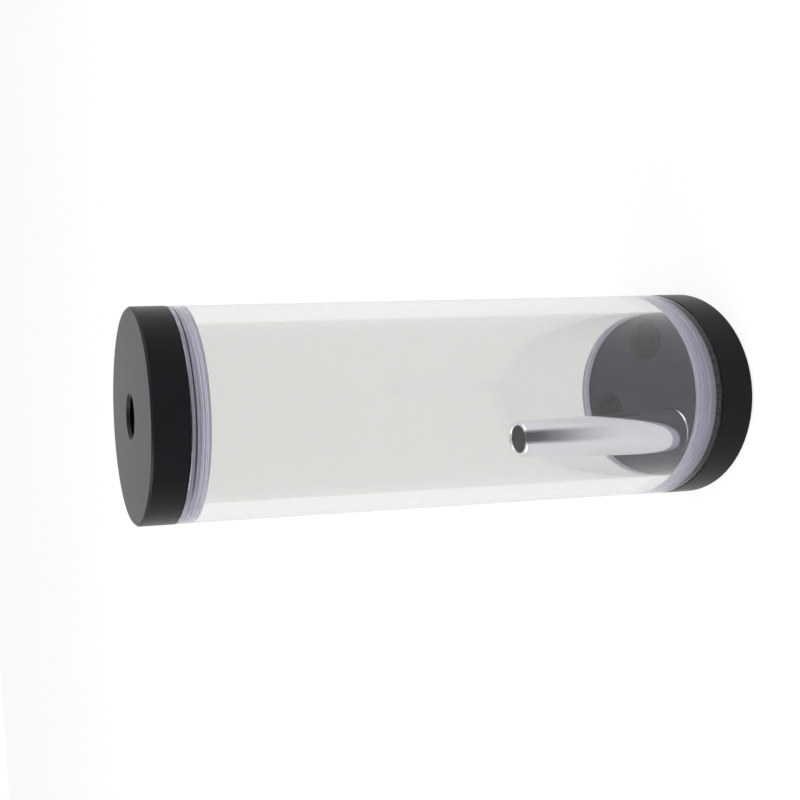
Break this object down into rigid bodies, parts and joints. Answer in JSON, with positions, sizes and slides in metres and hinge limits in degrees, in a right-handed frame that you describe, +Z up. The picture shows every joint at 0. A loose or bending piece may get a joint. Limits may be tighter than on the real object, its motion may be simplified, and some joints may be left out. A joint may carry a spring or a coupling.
{
  "type": "coolant reservoir",
  "caption": "Clear cylindrical coolant reservoir with screw-in black caps, threaded ports and a tapered inner riser pipe.",
  "frame": {"origin": "centre of the base cap's outer face, on which the reservoir stands", "axes": "+Z up along the tube's axis from the base cap to the top cap; -Y towards the port that carries the riser pipe"},
  "size_m": [0.06, 0.06, 0.17],
  "materials": {
    "clear_acrylic": "clear, polished, faint grey-green tint",
    "black_acetal": "satin turned acetal, fine lathe lines on the flat faces",
    "seal_rubber": "matte black nitrile",
    "polished_aluminium": "bright polished, turned taper"
  },
  "bodies": {
    "base": {"base_cap": "black_acetal", "base_o_ring": "seal_rubber"},
    "tube": {"tube": "clear_acrylic"},
    "top": {"top_cap": "black_acetal", "top_o_ring": "seal_rubber"},
    "riser": {"riser_pipe": "polished_aluminium"}
  },
  "joints": [
    {"name": "tube_turn", "type": "hinge", "parent": "base", "child": "tube", "pos_m": [0, 0, 0.01], "axis": [0, 0, 1], "range_deg": [0, 720]},
    {"name": "top_cap_turn", "type": "hinge", "parent": "tube", "child": "top", "pos_m": [0, 0, 0.16], "axis": [0, 0, 1], "range_deg": [0, 720]},
    {"name": "riser_turn", "type": "hinge", "parent": "base", "child": "riser", "pos_m": [0, -0.0162, 0.0138], "axis": [0, 0, 1], "range_deg": [0, 1440]}
  ]
}
